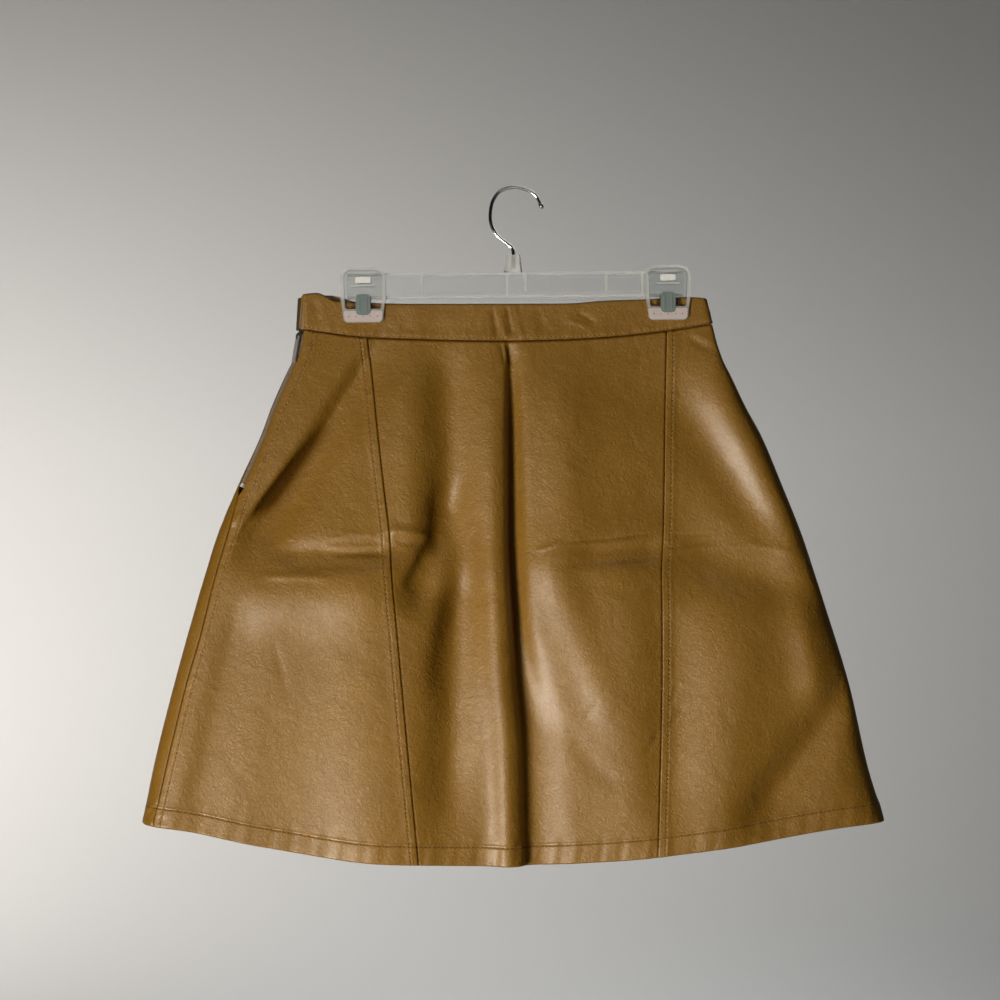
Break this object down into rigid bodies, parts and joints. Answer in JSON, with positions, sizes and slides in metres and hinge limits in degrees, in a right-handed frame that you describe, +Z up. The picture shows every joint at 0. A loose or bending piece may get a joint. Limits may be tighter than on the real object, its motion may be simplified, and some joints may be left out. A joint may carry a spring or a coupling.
{
  "type": "leather mini skirt on a clip hanger",
  "caption": "Tan leather A-line mini skirt with a waistband, long seams on its face, a centre fold and a side zip, clipped to a clear hanger with a wire hook.",
  "frame": {"origin": "underside of the hook's top, where a peg or rail carries the hanger", "axes": "+X to the right as the skirt's face is looked at, +Y from the face to the back, +Z up"},
  "size_m": [0.6493, 0.0563, 0.5931],
  "materials": {
    "leather": "smooth fine grain, semi gloss",
    "zip_chain": "antique, dull",
    "zip_metal": "dull nickel",
    "hook_wire": "polished wire",
    "clear_plastic": "clear moulded polystyrene, polished",
    "spring_steel": "plated spring strip"
  },
  "bodies": {
    "skirt": {"front_left_panel": "leather", "front_centre_panel": "leather", "front_right_panel": "leather", "back_panel": "leather", "waistband": "leather", "zip_chain": "zip_chain", "zip_stop": "zip_metal", "zip_slider": "zip_metal", "hanger_hook": "hook_wire", "hanger_bar": "clear_plastic", "clip_left_front_jaw": "clear_plastic", "clip_left_back_jaw": "clear_plastic", "clip_left_spring": "spring_steel", "clip_right_front_jaw": "clear_plastic", "clip_right_back_jaw": "clear_plastic", "clip_right_spring": "spring_steel"},
    "zip_pull": {"zip_pull": "zip_metal"}
  },
  "joints": [
    {"name": "pull_tab_hinge", "type": "hinge", "parent": "skirt", "child": "zip_pull", "pos_m": [-0.1891, -0.00354, -0.12916], "axis": [-0.6504, 0.7595, 0.0141], "range_deg": [0, 150]}
  ]
}
